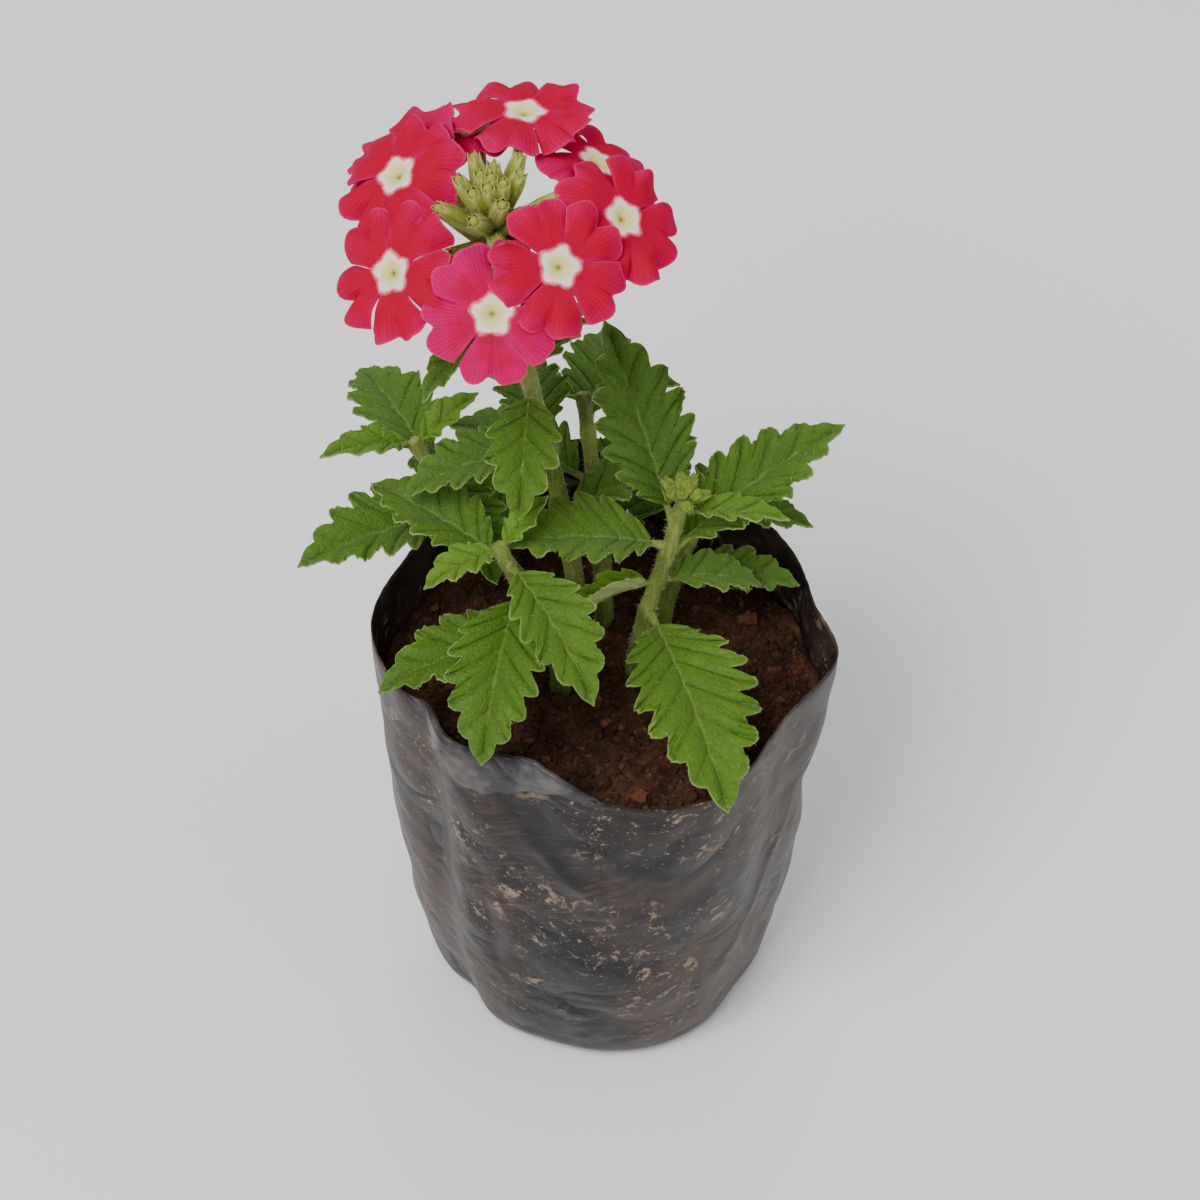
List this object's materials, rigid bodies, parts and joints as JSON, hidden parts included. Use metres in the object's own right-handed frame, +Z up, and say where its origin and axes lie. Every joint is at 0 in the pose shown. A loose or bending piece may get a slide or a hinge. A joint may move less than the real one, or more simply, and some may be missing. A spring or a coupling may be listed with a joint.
{
  "type": "potted verbena",
  "caption": "Red verbena in a black film nursery bag: leafy toothed stems, a ring-shaped head of notched florets round green calyces, a head of green buds, and rough brown soil.",
  "frame": {"origin": "centre of the bag's flat base, on the surface it stands on", "axes": "+Z up, the front faces -Y, +X to the right seen from the front"},
  "size_m": [0.1007, 0.099, 0.1994],
  "materials": {
    "black_film": "thin black polythene film, creased, with dried mud smears",
    "potting_soil": "damp crumbly reddish-brown soil",
    "leaf_green": "softly hairy green leaf with impressed veins",
    "petal_red": "velvety crimson petal with a cream eye"
  },
  "bodies": {
    "root": {"grow_bag": "black_film", "soil": "potting_soil", "leafy_stem_flowering": "leaf_green", "leafy_stem_right": "leaf_green", "leafy_stem_front": "leaf_green", "leafy_stem_left": "leaf_green", "leafy_stem_back": "leaf_green", "leafy_stem_side": "leaf_green", "flower_head_corollas": "petal_red"}
  },
  "joints": []
}
